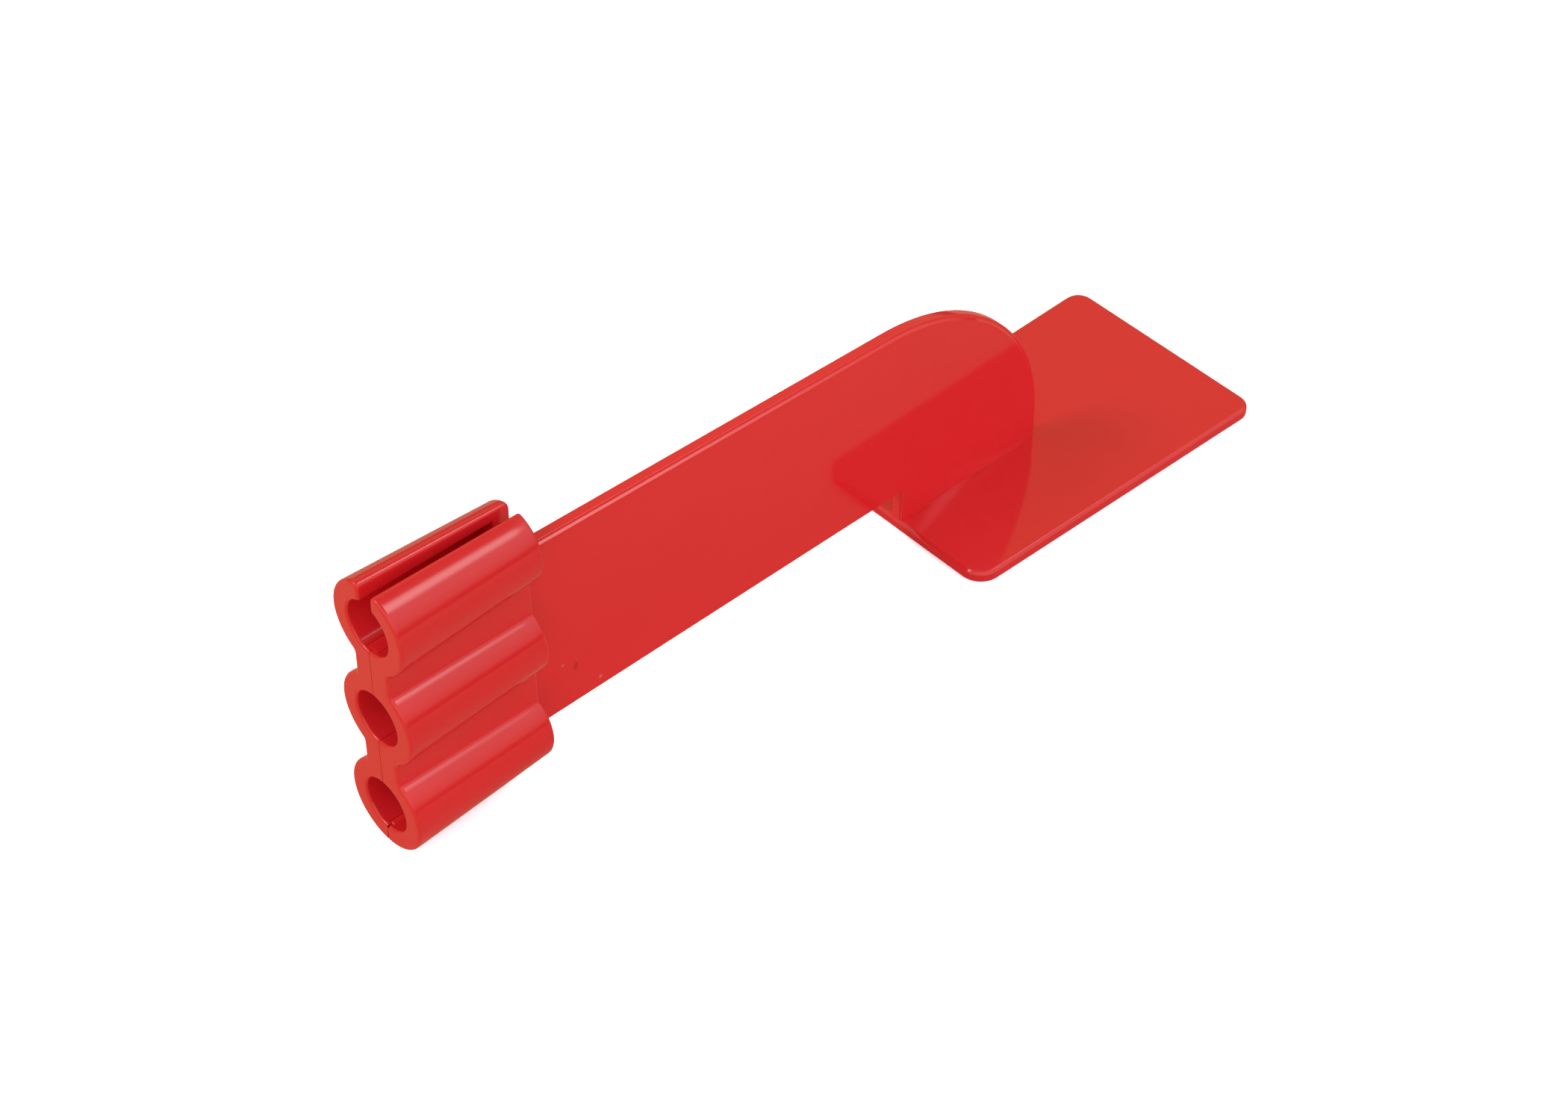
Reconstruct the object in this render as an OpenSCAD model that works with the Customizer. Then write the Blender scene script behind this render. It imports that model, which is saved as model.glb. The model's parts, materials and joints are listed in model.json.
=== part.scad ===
// Slotted clip lever: a clip of three stacked sockets, a thin blade on edge and a
// flat rest plate. The clip is two jaws that meet on the seam in the middle plane.
// The near jaw is fixed to the blade. The far jaw swings on a rib along the bottom.
// +X runs along the blade from the clip to the plate, +Z is up, and the origin is
// under the middle of the whole lever, level with the underside of the rest plate.

/* [Lever] */
// Length over everything, from the clip's open face to the plate's outer edge
lever_l = 168.4; // [150:0.1:200]
// Thickness of the blade
blade_t = 2.1; // [1.6:0.1:3]

/* [Clip] */
// Length of the clip along the blade
clip_l = 27.2; // [20:0.1:34]
// Radius of the sockets
bore_r = 4.6; // [4:0.1:5]
// Distance from one socket to the next
bore_pitch = 18.3; // [17.6:0.1:20]
// Height of the lowest socket's axis over the rest plate's underside
bore_low_z = 10.8; // [10.4:0.1:12]
// Outer radius of a lobe at the open face
lobe_r_open = 7.9; // [7.4:0.1:8.4]
// Outer radius of a lobe at the blade
lobe_r_blade = 6.6; // [6.4:0.1:7.4]
// Half thickness of the web between two lobes at the open face
web_half_open = 3.8; // [3.4:0.1:4.4]
// Half thickness of the web between two lobes at the blade
web_half_blade = 3.2; // [3:0.1:4]
// Width of the slot into the top socket
slot_w = 2.4; // [2:0.1:4.4]
// Thickness of the wall that closes the sockets at the blade
end_wall_t = 3; // [2:0.5:5]
// Gap between the closed jaws
seam_gap = 0.1; // [0.06:0.02:0.2]
// Rounding of the rim at the open face
rim_r = 0.6; // [0.4:0.1:1.6]

/* [Hinge] */
// Radius of the rib that the far jaw swings on
rib_r = 0.8; // [0.6:0.05:0.9]
// Widest opening of the far jaw, in degrees
open_max = 8; // [4:1:10]

/* [Blade] */
// Height of the blade's lower edge over the rest plate's underside
blade_low_z = 7.9; // [6:0.1:9]
// Height of the blade's upper edge where it meets the clip
blade_top_clip_z = 45.5; // [42:0.1:47]
// Radius of the blade's rounded far end
blade_end_r = 35.6; // [34:0.1:36]
// Length of the plate that the blade stands on
foot_l = 31; // [24:0.5:40]

/* [Rest plate] */
// Length of the plate along the blade
plate_l = 64; // [50:0.5:80]
// Width of the plate at the end near the clip
plate_w_in = 39.2; // [34:0.1:46]
// Width of the plate at its outer end
plate_w_out = 41; // [34:0.1:48]
// Thickness of the plate
plate_t = 2; // [1.6:0.1:3]
// Radius of the plate's corners at the end near the clip
corner_in_r = 4; // [2:0.1:8]
// Radius of the plate's corners at its outer end
corner_out_r = 3; // [2:0.1:8]

/* [Hidden] */
$fn = 96;
clip_x0 = -lever_l / 2;
clip_x1 = clip_x0 + clip_l;
plate_x1 = lever_l / 2;
plate_x0 = plate_x1 - plate_l;
blade_x1 = plate_x0 + foot_l + 0.3;
foot_x0 = plate_x0 + 0.3;
// Axes of the three sockets, from the bottom up
bore_z = [for (k = [0:2]) bore_low_z + k * bore_pitch];
bore_x1 = clip_x1 - end_wall_t;
// The rib's crown stands proud of the lowest socket's floor by the same small
// amount as the blade's tongues stand into the sockets
proud = 0.2;
rib_z = bore_z[0] - bore_r - rib_r + proud;
rib_inset = 0.8;
rib_clear = 0.06;
back_rim_r = 0.6;
lip_r = 1;
tongue_inset = 0.8;
tongue_wall = 0.6;
pocket_clear = 0.15;
tab_l = 6;
tab_clear = 0.05;
over = 1;
red = [0.84, 0.13, 0.14];
deep_red = [0.78, 0.10, 0.12];

// Points of a round from angle a0 to a1 about a centre
function arc(cx, cy, r, a0, a1, n = 6) =
    [for (i = [0:n]) let (a = a0 + (a1 - a0) * i / n) [cx + r * cos(a), cy + r * sin(a)]];

// One lobe: a cone along +X with rounded rims, from the open face to the blade
module lobe() {
    draft = atan((lobe_r_open - lobe_r_blade) / clip_l);
    rotate([0, 90, 0])
        rotate_extrude()
            polygon(concat(
                [[0, 0]],
                arc(lobe_r_open - rim_r, rim_r, rim_r, -90, -draft),
                arc(lobe_r_blade - back_rim_r, clip_l - back_rim_r, back_rim_r, -draft, 90),
                [[0, clip_l]]));
}

// The web between two lobes, thinner towards the blade, with eased ends
module web() {
    linear_extrude(height = bore_pitch)
        polygon(concat(
            arc(rim_r, web_half_open - rim_r, rim_r, 180, 90),
            arc(clip_l - back_rim_r, web_half_blade - back_rim_r, back_rim_r, 90, 0),
            arc(clip_l - back_rim_r, back_rim_r - web_half_blade, back_rim_r, 0, -90),
            arc(rim_r, rim_r - web_half_open, rim_r, -90, -180)));
}

// Straight slot from the top socket up through the lobe, with flared lips
module lip_slot() {
    top_z = bore_z[2] + lobe_r_open;
    translate([clip_x0 - over, 0, 0])
        rotate([90, 0, 90])
            linear_extrude(height = clip_l + 2 * over)
                polygon(concat(
                    [[-slot_w / 2, bore_z[2]]],
                    [[slot_w / 2, bore_z[2]]],
                    arc(slot_w / 2 + lip_r, top_z - 1.2 * lip_r, lip_r, 180, 110),
                    [[slot_w / 2 + lip_r, top_z + over]],
                    [[-slot_w / 2 - lip_r, top_z + over]],
                    arc(-slot_w / 2 - lip_r, top_z - 1.2 * lip_r, lip_r, 70, 0)));
}

// The whole clip before it is split along the seam
module clip_form() {
    difference() {
        translate([clip_x0, 0, 0])
            union() {
                for (z = bore_z) translate([0, 0, z]) lobe();
                for (k = [0:1]) translate([0, 0, bore_z[k]]) web();
            }
        for (z = bore_z)
            translate([clip_x0 - over, 0, z])
                rotate([0, 90, 0])
                    cylinder(h = bore_x1 - clip_x0 + over, r = bore_r);
        lip_slot();
    }
}

// Room for the rib, from the open face's inset to the closed end's
module rib_groove(r) {
    translate([clip_x0 + rib_inset, 0, rib_z])
        rotate([0, 90, 0])
            cylinder(h = clip_l - 2 * rib_inset, r = r);
}

// Pockets for the blade's tongues and root, wider than them by the clearance
module tongue_pockets(clear, half_t) {
    tongue_x0 = clip_x0 + tongue_inset - clear;
    for (k = [0:1])
        let (low = tongue_low(k) - clear, high = tongue_high(k) + clear)
            translate([tongue_x0, -half_t, low])
                cube([bore_x1 - tongue_x0 + over, 2 * half_t, high - low]);
    translate([bore_x1 - clear, -half_t, blade_low_z - clear])
        cube([end_wall_t + clear + over, 2 * half_t, blade_top_clip_z + 2 * clear + 0.2 - blade_low_z]);
}

// Lower and upper edge of the tongue in web k: the edge next to the middle socket
// stays inside the web, and the other one stands proud in its socket
function tongue_low(k) = bore_z[k] + bore_r + (k == 0 ? -proud : tongue_wall);
function tongue_high(k) = bore_z[k + 1] - bore_r + (k == 1 ? proud : -tongue_wall);

// Everything on one side of the middle plane; side is -1 for near and 1 for far
module half_space(side) {
    size_z = bore_z[2] + 2 * lobe_r_open;
    translate([clip_x0 - over, side > 0 ? seam_gap / 2 : -2 * lobe_r_open - seam_gap / 2, -lobe_r_open])
        cube([clip_l + 2 * over, 2 * lobe_r_open, size_z + lobe_r_open]);
}

module near_jaw() {
    color(red)
        difference() {
            intersection() {
                clip_form();
                half_space(-1);
            }
            tongue_pockets(0, blade_t / 2);
            rib_groove(rib_r);
        }
}

module far_jaw() {
    color(red)
        difference() {
            intersection() {
                clip_form();
                half_space(1);
            }
            tongue_pockets(pocket_clear, blade_t / 2 + pocket_clear);
            rib_groove(rib_r + rib_clear);
            // Relief under the rib, so that the jaw can swing by its full opening
            translate([clip_x0 - over, 0, rib_z])
                rotate([open_max, 0, 0])
                    translate([0, -lobe_r_open, -2 * lobe_r_open])
                        cube([clip_l + 2 * over, lobe_r_open, 2 * lobe_r_open]);
        }
}

module hinge_rib() {
    color(deep_red)
        rib_groove(rib_r);
}

// Outline of the blade in the middle plane: straight lower edge, foot on the plate,
// quarter-round far end and an upper edge that falls gently from the clip
module blade_outline() {
    end_cx = blade_x1 - blade_end_r;
    end_cz = blade_low_z - 0.7;
    fall = atan((blade_top_clip_z - end_cz - blade_end_r) / (end_cx - clip_x1));
    polygon(concat(
        [[bore_x1, blade_low_z]],
        [[foot_x0, blade_low_z]],
        [[foot_x0, plate_t]],
        [[blade_x1, plate_t]],
        arc(end_cx, end_cz, blade_end_r, 0, 90 - fall, 48),
        [[clip_x1, blade_top_clip_z]],
        [[bore_x1, blade_top_clip_z]]));
}

module arm_blade() {
    color(red)
        translate([0, blade_t / 2, 0])
            rotate([90, 0, 0])
                linear_extrude(height = blade_t)
                    union() {
                        blade_outline();
                        for (k = [0:1])
                            translate([clip_x0 + tongue_inset, tongue_low(k)])
                                square([bore_x1 - clip_x0 - tongue_inset + over,
                                        tongue_high(k) - tongue_low(k)]);
                        // Tabs that pass through the plate's slots
                        for (x = tab_x)
                            translate([x, 0])
                                square([tab_l, plate_t + over]);
                    }
}

// Where the two tabs start along the foot
tab_x = [for (part = [0.2, 0.62]) foot_x0 + part * foot_l];

module rest_plate() {
    in_x = plate_x0 + corner_in_r;
    in_y = plate_w_in / 2 - corner_in_r;
    out_x = plate_x1 - corner_out_r;
    out_y = plate_w_out / 2 - corner_out_r;
    color(red)
        difference() {
            linear_extrude(height = plate_t)
                polygon(concat(
                    arc(in_x, -in_y, corner_in_r, 180, 270, 12),
                    arc(out_x, -out_y, corner_out_r, 270, 360, 12),
                    arc(out_x, out_y, corner_out_r, 0, 90, 12),
                    arc(in_x, in_y, corner_in_r, 90, 180, 12)));
            for (x = tab_x)
                translate([x - tab_clear, -blade_t / 2 - tab_clear, -over])
                    cube([tab_l + 2 * tab_clear, blade_t + 2 * tab_clear, plate_t + 2 * over]);
        }
}

near_jaw();
far_jaw();
hinge_rib();
arm_blade();
rest_plate();
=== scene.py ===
"""Slotted clip lever: the visible surfaces, plastics and studio of a small moulded lever.

The clip's two jaws, the hinge rib, the blade and the rest plate are surfaces worked out
from the frame's own sizes. Lengths are metres, and +X runs from the clip to the plate.
"""
import json
import math

import bmesh
import bpy
import numpy as np
from mathutils import Euler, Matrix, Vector


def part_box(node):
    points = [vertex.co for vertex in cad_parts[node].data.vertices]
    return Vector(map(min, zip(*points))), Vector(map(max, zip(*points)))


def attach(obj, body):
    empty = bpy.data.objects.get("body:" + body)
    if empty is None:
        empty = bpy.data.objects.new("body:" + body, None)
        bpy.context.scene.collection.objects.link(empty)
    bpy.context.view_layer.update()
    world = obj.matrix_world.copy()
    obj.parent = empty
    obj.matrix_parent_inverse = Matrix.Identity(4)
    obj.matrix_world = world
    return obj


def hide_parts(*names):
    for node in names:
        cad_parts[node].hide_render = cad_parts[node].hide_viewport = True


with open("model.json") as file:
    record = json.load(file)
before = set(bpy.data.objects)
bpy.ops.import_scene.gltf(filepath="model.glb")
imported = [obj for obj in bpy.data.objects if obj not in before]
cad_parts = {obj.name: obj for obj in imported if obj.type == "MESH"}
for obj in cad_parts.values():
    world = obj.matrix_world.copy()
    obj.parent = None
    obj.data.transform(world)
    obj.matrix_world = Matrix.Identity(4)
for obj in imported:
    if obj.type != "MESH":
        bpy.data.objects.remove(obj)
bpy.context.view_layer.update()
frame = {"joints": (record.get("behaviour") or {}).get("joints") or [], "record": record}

bl_info = {
    "name": "Slotted clip lever",
    "version": (1, 0, 0),
    "blender": (4, 5, 0),
    "location": "View3D > Sidebar > Lever",
    "description": "Builds the jaws, blade, rest plate and studio of a slotted clip lever",
    "category": "Object",
}

MM = 0.001
MOUNTS = {m["name"]: m for m in frame["record"]["mounts"]}
JAW_LOW, JAW_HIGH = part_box("near_jaw")
BLADE_LOW, BLADE_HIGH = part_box("arm_blade")
PLATE_LOW, PLATE_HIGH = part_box("rest_plate")
RIB_LOW, RIB_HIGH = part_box("hinge_rib")

# Axes of the three sockets, from the bottom up, and the sockets' own size
SOCKET_Z = [MOUNTS[name]["pos_m"][2] for name in ("low_socket", "middle_socket", "top_socket")]
SOCKET_R = MOUNTS["middle_socket"]["dims"]["r_mm"] * MM
SOCKET_END_X = JAW_LOW.x + MOUNTS["middle_socket"]["dims"]["length_mm"] * MM
RIB_R = (RIB_HIGH.z - RIB_LOW.z) / 2
RIB_Z = (RIB_HIGH.z + RIB_LOW.z) / 2
OPENING = math.radians(frame["joints"][0]["range_deg"][1])

# Kinds of station along a jaw: the open rim, the sockets and the closed end
RIM, SOCKET, CLOSED = 0, 1, 2

# Two points this far apart in height carry a step in depth; where there is no step
# they are merged
STEP = 0.001 * MM
MERGE = 0.003 * MM

# Width of the strip that a flat face keeps beside its rounded edge
FACE_STRIP = 0.05 * MM
# Faces that meet at more than this many degrees keep a sharp edge between them
SHARP_ANGLE = 34.0
# Steps in a quarter round of a long edge
EDGE_STEPS = 6
QUARTER = math.pi / 2
WHITE = (1.0, 1.0, 1.0, 1.0)


# ---------------------------------------------------------------- sizes and colours

def length(name, description, default_mm):
    """A length property in metres, given in millimetres."""
    return bpy.props.FloatProperty(
        name=name, description=description, default=default_mm * MM,
        min=0.0, precision=5, unit="LENGTH", subtype="DISTANCE")


def amount(name, description, default):
    """A plain number from 0 to 1."""
    return bpy.props.FloatProperty(
        name=name, description=description, default=default, min=0.0, max=1.0,
        subtype="FACTOR")


def colour(name, description, default):
    """A linear colour."""
    return bpy.props.FloatVectorProperty(
        name=name, description=description, default=default, size=3,
        min=0.0, max=4.0, subtype="COLOR")


def angle(name, description, default):
    """An angle, given in degrees."""
    return bpy.props.FloatProperty(
        name=name, description=description, default=math.radians(default),
        unit="ROTATION", subtype="ANGLE")


class LeverClipSizes(bpy.types.PropertyGroup):
    """Sizes of the clip's two jaws."""
    lobe_r_blade: length("Lobe radius at the blade", "Outer radius of a lobe at the closed end", 6.6)
    web_half_open: length("Web at the rim", "Half thickness of a web at the open rim", 3.8)
    web_half_blade: length("Web at the blade", "Half thickness of a web at the closed end", 3.2)
    web_fillet: length("Web fillet", "Radius of the hollow between a lobe and a web", 1.2)
    slot_half: length("Half slot", "Half the width of the slot at the closed end", 1.15)
    slot_open: length("Half slot at the rim", "Half the width of the slot at the open rim", 1.4)
    seam_half: length("Half seam", "Half the gap between the closed jaws", 0.05)
    rim_r: length("Rim rounding", "Rounding of the outer edge at the open rim", 0.6)
    back_r: length("End rounding", "Rounding of the outer edge at the blade", 0.6)
    mouth_r: length("Mouth rounding", "Rounding of a socket's mouth", 0.5)
    tongue_inset: length("Tongue inset", "Distance from the rim to the tongues", 0.8)
    lip_share: amount("Lip share", "Radius of a lip as a share of the lobe's wall", 0.30)
    neck_share: amount("Neck share", "Radius between socket and slot as a share of the wall", 0.12)
    tongue_wall: length("Tongue wall", "Wall between a tongue and the middle socket", 0.6)
    proud: length("Proud edge", "How far a tongue stands into its socket", 0.2)
    pocket_clear: length("Pocket room", "Room round a tongue in the far jaw", 0.15)
    rib_clear: length("Rib room", "Room round the rib in the far jaw", 0.04)


class LeverBladeSizes(bpy.types.PropertyGroup):
    """Sizes of the blade."""
    low_z: length("Lower edge", "Height of the lower edge", 7.9)
    top_clip_z: length("Upper edge", "Height of the upper edge at the clip", 45.5)
    end_r: length("End radius", "Radius of the rounded far end", 35.6)
    end_drop: length("End drop", "How far the end's centre lies under the lower edge", 0.7)
    foot_x: length("Foot start", "Distance from the plate's inner end to the foot", 0.3)
    foot_sink: length("Foot sink", "How far the foot goes into the plate", 1.2)
    edge_r: length("Edge rounding", "Rounding of the blade's long edges", 0.20)
    ledge: length("Ledge", "Width of the fine ledge along the near edges", 0.40)
    ledge_slant: angle("Ledge slant", "Turn of the ledge from the blade's face", 57)
    ledge_drop: length("Ledge drop", "Height of the edge over the ledge", 0.26)


class LeverPlateSizes(bpy.types.PropertyGroup):
    """Sizes of the rest plate."""
    width_in: length("Inner width", "Width at the end near the clip", 39.2)
    corner_in: length("Inner corners", "Radius of the corners near the clip", 4)
    corner_out: length("Outer corners", "Radius of the corners at the outer end", 3)
    edge_r: length("Edge rounding", "Rounding of the plate's edges", 0.30)
    bevel: length("Edge bevel", "Flat inside the rounding of the edges", 0.55)
    slant: angle("Bevel slant", "Turn of the bevel from the plate's faces", 45)
    slot_x: length("First slot", "Distance from the foot's start to the first slot", 6.2)
    slot_pitch: length("Slot pitch", "Distance from one slot to the next", 13.02)
    slot_l: length("Slot length", "Length of a slot along the blade", 6.1)
    slot_half: length("Half slot", "Half the width of a slot", 1.0)


class LeverFinish(bpy.types.PropertyGroup):
    """Colours and gloss of the moulded plastic."""
    base: colour("Red", "Colour of the plastic", (0.93, 0.023, 0.034))
    deep: colour("Deep red", "Colour where the plastic is thick", (0.88, 0.019, 0.030))
    # Painted rim glow: rounded edges take this lighter, warmer red, which stands in for light
    # shining through the thin plastic at its edges
    edge: colour("Edge red", "Warmer colour of thin rims", (0.96, 0.030, 0.022))
    dust: colour("Dust", "Colour of dust and small chips", (0.80, 0.30, 0.26))
    clip_rough: amount("Clip roughness", "Roughness of the clip's skin", 0.14)
    flat_rough: amount("Flat roughness", "Roughness of the blade's and plate's skin", 0.07)
    worn: amount("Worn roughness", "Roughness of rubbed places", 0.27)


class LeverStage(bpy.types.PropertyGroup):
    """Studio and camera."""
    floor_size: length("Floor", "Radius of the floor", 1500)
    # Painted shade: near the lever the floor bounces a darker, redder tone, as the lever's shade and
    # red bounce light would give
    floor_painted_shade: colour("Floor, near", "What the floor gives back near the lever", (0.80, 0.46, 0.38))
    floor_far: colour("Floor, far", "What the floor gives back further off", (0.80, 0.64, 0.50))
    gap: colour("Horizon", "Dim band at the horizon", (0.14, 0.10, 0.08))
    front_low: colour("Front, low", "Lower part of the front", (0.92, 0.80, 0.58))
    front_high: colour("Front, high", "Upper part of the front", (1.12, 1.24, 1.20))
    back_wall: colour("Back", "Light from the back", (0.60, 0.54, 0.27))
    left_wall: colour("Left", "Light from the clip's end", (1.00, 1.05, 1.00))
    ceiling: colour("Ceiling", "Light from above", (0.12, 0.26, 0.14))
    patch: bpy.props.FloatVectorProperty(
        name="Patch", description="Direction of the soft patch of light", size=3,
        default=(0.430, -0.390, 0.814), subtype="XYZ")
    patch_full: angle("Patch core", "Angle up to which the patch is full", 3)
    patch_fade: angle("Patch fade", "Angle at which the patch ends", 12)
    patch_glow: bpy.props.FloatProperty(
        name="Patch glow", description="Brightness that the patch adds", default=4.2, min=0.0)
    key: bpy.props.FloatVectorProperty(
        name="Key", description="Direction of the key light behind the clip", size=3,
        default=(-0.66, 0.26, 0.71), subtype="XYZ")
    key_full: angle("Key core", "Angle up to which the key light is full", 4)
    key_fade: angle("Key fade", "Angle at which the key light ends", 15)
    key_glow: bpy.props.FloatProperty(
        name="Key glow", description="Brightness that the key light adds", default=5.0, min=0.0)
    aim: bpy.props.FloatVectorProperty(
        name="Aim", description="Point that the camera looks at", size=3,
        default=(0.00422, 0.00934, -0.00345), unit="LENGTH", subtype="XYZ")
    distance: length("Distance", "Distance from the camera to the aim", 607.5)
    yaw: angle("Yaw", "Turn of the view from +Y towards +X", 42.704)
    pitch: angle("Pitch", "Downward slope of the view", 43.931)
    lens: bpy.props.FloatProperty(
        name="Lens", description="Focal length in millimetres on a 36 mm sensor",
        default=85.714, min=1.0)


# ---------------------------------------------------------------- surface tools

def arcs(cx, cz, r, start, end, steps):
    """Points of circular arcs, one row for each centre, radius and pair of angles.

    Each point is the centre plus the radius times the cosine and sine of an angle that
    goes evenly from start to end.
    """
    cx, cz, r, start, end = np.broadcast_arrays(
        *(np.atleast_1d(np.asarray(v, float))[:, None] for v in (cx, cz, r, start, end)))
    turn = start + (end - start) * np.linspace(0, 1, steps + 1)
    return np.stack([cx + r * np.cos(turn), cz + r * np.sin(turn)], axis=-1)


def swept_points(x, y, z):
    """Points of a surface, ring after ring, from coordinates that share rows and columns."""
    return np.stack(np.broadcast_arrays(x, y, z), axis=-1).reshape(-1, 3)


def ring_faces(stations, count):
    """Quads between neighbouring closed rings: point i of a ring joins point i + 1."""
    first = np.arange(stations - 1)[:, None] * count
    here = np.arange(count)[None, :]
    after = (here + 1) % count
    corners = [first + here, first + after, first + count + after, first + count + here]
    return np.stack(corners, axis=-1).reshape(-1, 4).tolist()


def capped_faces(stations, count):
    """The quads between the rings, and one face over each end ring."""
    last = (stations - 1) * count
    caps = [list(range(count))[::-1], list(range(last, last + count))]
    return ring_faces(stations, count) + caps


def inset_outline(outline, share, depth):
    """The closed outline moved inwards by depth times each point's share.

    Each point moves along the bisector of its two edges, by the depth over the cosine of
    half the turn, so that the edges stay parallel to themselves.
    """
    ahead = np.roll(outline, -1, axis=0) - outline
    ahead /= np.linalg.norm(ahead, axis=1, keepdims=True)
    behind = np.roll(ahead, 1, axis=0)
    inward = np.stack([-ahead[:, 1] - behind[:, 1], ahead[:, 0] + behind[:, 0]], axis=1)
    inward *= 2 / np.sum(inward * inward, axis=1, keepdims=True)
    return outline + inward * (share * depth)[:, None]


def rounding(radius, steps, flat=FACE_STRIP, bevel=0.0, slant=0.0):
    """Distance from the face and inset of a quarter-round edge, starting on the face.

    The distance is the radius times one minus the cosine, and the inset the radius times
    one minus the sine. A bevel adds a flat of that length where the angle reaches the
    slant. The first pair lies a little further in on the flat face, so that the face keeps
    its own normals.
    """
    turn = np.linspace(0, QUARTER, steps + 1)
    passed = turn > slant
    if bevel:
        # Both ends of the bevel stand at the slant, the first before it and the second past it
        at = np.count_nonzero(~passed)
        turn = np.insert(turn, at, [slant, slant])
        passed = np.insert(passed, at, [False, True])
    distance = radius * (1 - np.cos(turn)) + bevel * math.sin(slant) * passed
    inset = radius * (1 - np.sin(turn)) + bevel * math.cos(slant) * ~passed
    return np.concatenate([[0], distance]), np.concatenate([[inset[0] + flat], inset])


def ledge_rounding(radius, ledge, slant, drop):
    """Distance from the face and inset of an edge with a fine ledge under it.

    The edge is walked in short runs, each turned from the face by its own angle: up to
    the ledge's slant, along the ledge, back to the face's direction, along the drop and
    round the top. The distance grows by the sine and the inset falls by the cosine of
    each turn.
    """
    def bend(start, end, r, steps=5):
        """Short runs round an arc of radius r, from one turn to the other."""
        middle = start + (end - start) * (np.arange(steps) + 0.5) / steps
        return [(turn, r * abs(end - start) / steps) for turn in middle]

    runs = [*bend(0, slant, radius / 2), (slant, ledge), *bend(slant, 0, radius / 3), (0, drop),
            *bend(0, QUARTER, radius)]
    turn, run = np.array(runs).T
    distance = np.concatenate([[0], np.cumsum(run * np.sin(turn))])
    total = np.sum(run * np.cos(turn))
    inset = total - np.concatenate([[0], np.cumsum(run * np.cos(turn))])
    return np.concatenate([[0], distance]), np.concatenate([[total + FACE_STRIP], inset])


def slab_rings(outline, share, shown, hidden, shown_edge, hidden_edge):
    """Rings of a slab with rounded edges, their depths, and how near each point is to an edge.

    The outline is carried from the shown face to the hidden one, and inset near each by
    that edge's own distances and insets. The nearness is a point's inset and share over
    the shown edge's full inset, and none on the first and last ring.
    """
    away, inset = shown_edge
    plain_away, plain_inset = hidden_edge
    side = 1 if hidden > shown else -1
    depth = np.concatenate([shown + side * away, (hidden - side * plain_away)[::-1]])
    insets = np.concatenate([inset, plain_inset[::-1]])
    rings = np.stack([inset_outline(outline, share, d) for d in insets])
    near = np.clip(insets[:, None] / inset[1] * share, 0, 1)
    near[0], near[-1] = 0, 0
    return rings, depth, near


def make_piece(name, points, faces, near, node, body, material):
    """Puts a surface into a mesh object, merges doubles, faces it outwards, hangs it on its body and
    hides the part it stands for.

    The near values say how near each point is to a rounded edge; the plastics read them to paint a
    lighter, warmer rim glow there.
    """
    mesh = bpy.data.meshes.new(name)
    mesh.from_pydata(points.tolist(), [], faces)
    near_edge = mesh.attributes.new("near_edge", "FLOAT", "POINT")
    near_edge.data.foreach_set("value", np.asarray(near, np.float32).reshape(-1))
    work = bmesh.new()
    work.from_mesh(mesh)
    bmesh.ops.remove_doubles(work, verts=work.verts, dist=MERGE)
    bmesh.ops.recalc_face_normals(work, faces=work.faces)
    work.to_mesh(mesh)
    work.free()
    mesh.shade_smooth()
    mesh.set_sharp_from_angle(angle=math.radians(SHARP_ANGLE))
    mesh.materials.append(material)
    piece = bpy.data.objects.new(name, mesh)
    bpy.context.scene.collection.objects.link(piece)
    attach(piece, body)
    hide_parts(node)
    return piece


# ---------------------------------------------------------------- the jaws

def jaw_stations(clip):
    """Stations along a jaw: place, kind, inset of the outside and flare of the mouths.

    The rim and the closed end are quarter rounds. Where the kind changes, two stations
    share one place. The inner ring of each end face shares the place of the outer one.
    """
    start, end = JAW_LOW.x, JAW_HIGH.x
    rim_away, rim_inset = rounding(clip.rim_r, 9)
    back_away, back_inset = rounding(clip.back_r, EDGE_STEPS)
    step_x = start + clip.tongue_inset
    # The even stations along the sockets start this far behind the pockets' own start
    even = np.linspace(step_x + 0.8 * MM, SOCKET_END_X, 10)
    places = np.concatenate([
        start + rim_away, [step_x], [step_x], even, [SOCKET_END_X], (end - back_away)[::-1]])
    kinds = np.concatenate([
        np.where(rim_away < clip.tongue_inset, RIM, SOCKET), [RIM], [SOCKET],
        np.full(len(even), SOCKET), [CLOSED], np.full(len(back_away), CLOSED)])
    order = np.lexsort((kinds, places))
    places, kinds = places[order], kinds[order]
    insets = np.interp(places - start, rim_away[1:], rim_inset[1:], right=0)
    insets = np.maximum(insets, np.interp(end - places, back_away[1:], back_inset[1:], right=0))
    insets[0], insets[-1] = rim_inset[0], back_inset[0]
    reach = np.clip(1 - (places - start) / clip.mouth_r, 0, 1)
    flares = clip.mouth_r * (1 - np.sqrt(1 - reach ** 2))
    # The face's inner ring stands a little outside the sockets' mouths
    flares[0] += 0.03 * MM
    return places, kinds, insets, flares


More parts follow.
